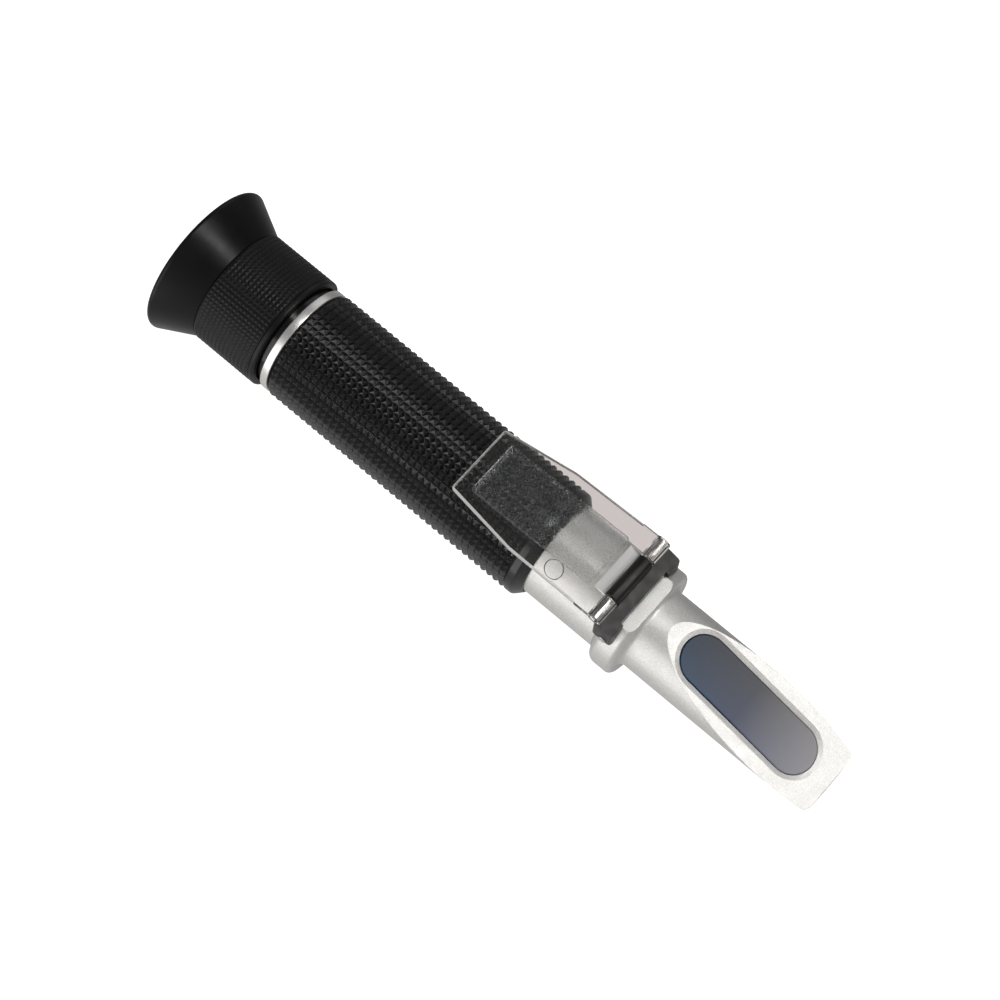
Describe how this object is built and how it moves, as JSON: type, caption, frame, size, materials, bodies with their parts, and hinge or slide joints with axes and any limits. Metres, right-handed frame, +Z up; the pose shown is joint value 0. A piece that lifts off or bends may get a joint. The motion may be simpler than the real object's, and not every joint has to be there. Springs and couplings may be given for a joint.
{
  "type": "refractometer",
  "caption": "Hand-held refractometer with a flared eyecup, turning focus ring, knurled rubber grip and a hinged clear flap over a sloped prism window.",
  "frame": {"origin": "centre of the whole object's box, on the optical axis", "axes": "+X along the optical axis towards the nose, +Z up on the side of the prism face and the flap, +Y to the left when looking from the eyecup"},
  "size_m": [0.166, 0.0346, 0.0346],
  "materials": {
    "eyecup_rubber": "smooth, slightly shiny black rubber",
    "grip_rubber": "satin black rubber with moulded pyramid knurl",
    "seal_rubber": "matte black",
    "black_plastic": "semi-gloss black",
    "aluminium": "fine bead-blasted, clear anodised",
    "polished_metal": "bright turned ring",
    "steel": "ground and bright",
    "prism_glass": "polished blue-grey glass",
    "lens_glass": "polished clear glass",
    "clear_plastic": "clear moulded acrylic",
    "frosted_plastic": "frosted acrylic"
  },
  "bodies": {
    "housing": {"body_tube": "aluminium", "bezel_ring": "polished_metal", "grip_sleeve": "grip_rubber", "reticle": "lens_glass", "reticle_ring": "black_plastic", "objective_cell": "black_plastic", "objective_lens": "lens_glass", "calibration_cap": "aluminium", "prism_housing": "aluminium", "prism": "prism_glass", "prism_gasket": "seal_rubber", "hinge_block": "black_plastic", "hinge_pin": "steel", "wing_screw_left": "steel", "wing_screw_right": "steel"},
    "eyepiece": {"eyepiece_barrel": "black_plastic", "barrel_seal": "seal_rubber", "eye_lens": "lens_glass", "lens_retainer": "black_plastic", "field_lens": "lens_glass", "field_lens_ring": "black_plastic"},
    "focus_control": {"focus_ring": "grip_rubber", "focus_core": "black_plastic", "eyecup": "eyecup_rubber"},
    "flap": {"daylight_flap": "clear_plastic", "diffuser_pad": "frosted_plastic"},
    "calibration": {"calibration_screw": "steel"}
  },
  "joints": [
    {"name": "focus_travel", "type": "slide", "parent": "housing", "child": "eyepiece", "axis": [-1, 0, 0], "range_m": [-0.0008, 0.0032]},
    {"name": "focus_turn", "type": "hinge", "parent": "eyepiece", "child": "focus_control", "pos_m": [-0.0657, 0, 0], "axis": [-1, 0, 0], "range_deg": [-72.5, 288.5]},
    {"name": "flap_hinge", "type": "hinge", "parent": "housing", "child": "flap", "pos_m": [0.0297, 0, 0.0154], "axis": [0, 1, 0], "range_deg": [0, 201.3]},
    {"name": "calibration_turn", "type": "hinge", "parent": "housing", "child": "calibration", "pos_m": [0.0163, -0.00488, 0.00671], "axis": [0, -0.5878, 0.809], "range_deg": [-180, 180]}
  ],
  "couplings": [
    {"joint": "focus_turn", "follows": "focus_travel", "rad_per_m": 1570.8}
  ]
}
